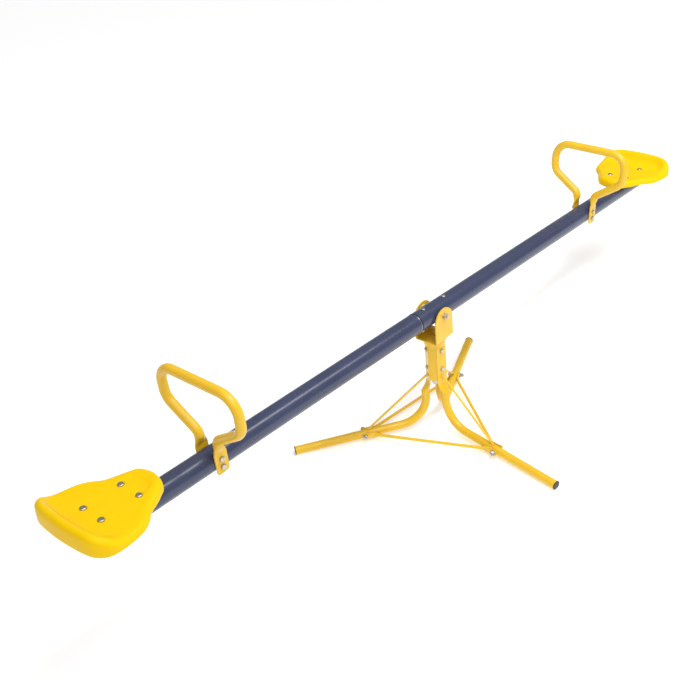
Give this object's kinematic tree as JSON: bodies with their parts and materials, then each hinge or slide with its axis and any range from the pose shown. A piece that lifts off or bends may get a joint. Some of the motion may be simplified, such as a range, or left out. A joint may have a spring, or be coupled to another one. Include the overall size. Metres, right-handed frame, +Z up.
{
  "type": "swivel seesaw",
  "caption": "Swivelling seesaw: long round beam with saddle seats and looped handles, tilting on a yoke that turns on a tripod of bent tubes.",
  "frame": {"origin": "on the ground, under the vertical swivel axis at the middle of the tripod", "axes": "+Z up; +X along the beam towards its far end, which lies lower at rest; +Y to the left, across the beam"},
  "size_m": [2.5737, 0.7356, 0.6986],
  "materials": {
    "blue_paint": "satin dark slate-blue powder coat",
    "yellow_paint": "semi-gloss golden-yellow powder coat",
    "yellow_plastic": "glossy moulded yellow plastic",
    "black_plastic": "matt black plastic",
    "nylon": "natural nylon",
    "zinc": "bright zinc plate",
    "bare_steel": "plain drawn steel"
  },
  "bodies": {
    "base": {"column_core": "yellow_paint", "swivel_hub": "yellow_paint", "swivel_bush_top": "nylon", "swivel_bush_low": "nylon", "column_bolts": "zinc", "brace_bolts": "zinc", "brace_nuts": "zinc", "brace_washers": "zinc", "leg_right": "yellow_paint", "foot_cap_right": "black_plastic", "strut_right": "yellow_paint", "brace_from_right": "yellow_paint", "leg_back": "yellow_paint", "foot_cap_back": "black_plastic", "strut_back": "yellow_paint", "brace_from_back": "yellow_paint", "leg_left": "yellow_paint", "foot_cap_left": "black_plastic", "strut_left": "yellow_paint", "brace_from_left": "yellow_paint"},
    "swivel_head": {"yoke": "yellow_paint", "swivel_spindle": "yellow_paint", "pivot_bolt": "zinc", "pivot_nut": "zinc", "pivot_washers": "zinc", "spindle_washer": "zinc", "spindle_nut": "zinc"},
    "beam": {"beam_near_tube": "blue_paint", "beam_far_tube": "blue_paint", "joint_sleeve": "bare_steel", "joint_ring": "black_plastic", "joint_bolts": "zinc", "joint_nuts": "zinc", "pivot_cross_tube": "bare_steel", "pivot_bushes": "nylon", "beam_plug_near": "black_plastic", "beam_plug_far": "black_plastic", "handle_near": "yellow_paint", "handle_far": "yellow_paint", "handle_bolts": "zinc", "handle_nuts": "zinc", "seat_near": "yellow_plastic", "seat_far": "yellow_plastic", "seat_bracket_near": "blue_paint", "seat_bracket_far": "blue_paint", "seat_bolts_near": "zinc", "seat_bolts_far": "zinc", "seat_nuts_near": "zinc", "seat_nuts_far": "zinc"}
  },
  "joints": [
    {"name": "swivel", "type": "hinge", "parent": "base", "child": "swivel_head", "pos_m": [0, 0, 0.323], "axis": [0, 0, 1], "continuous": true},
    {"name": "beam_tilt", "type": "hinge", "parent": "swivel_head", "child": "beam", "pos_m": [0, 0, 0.407], "axis": [0, 1, 0], "range_deg": [-20.8, 13.2]}
  ]
}
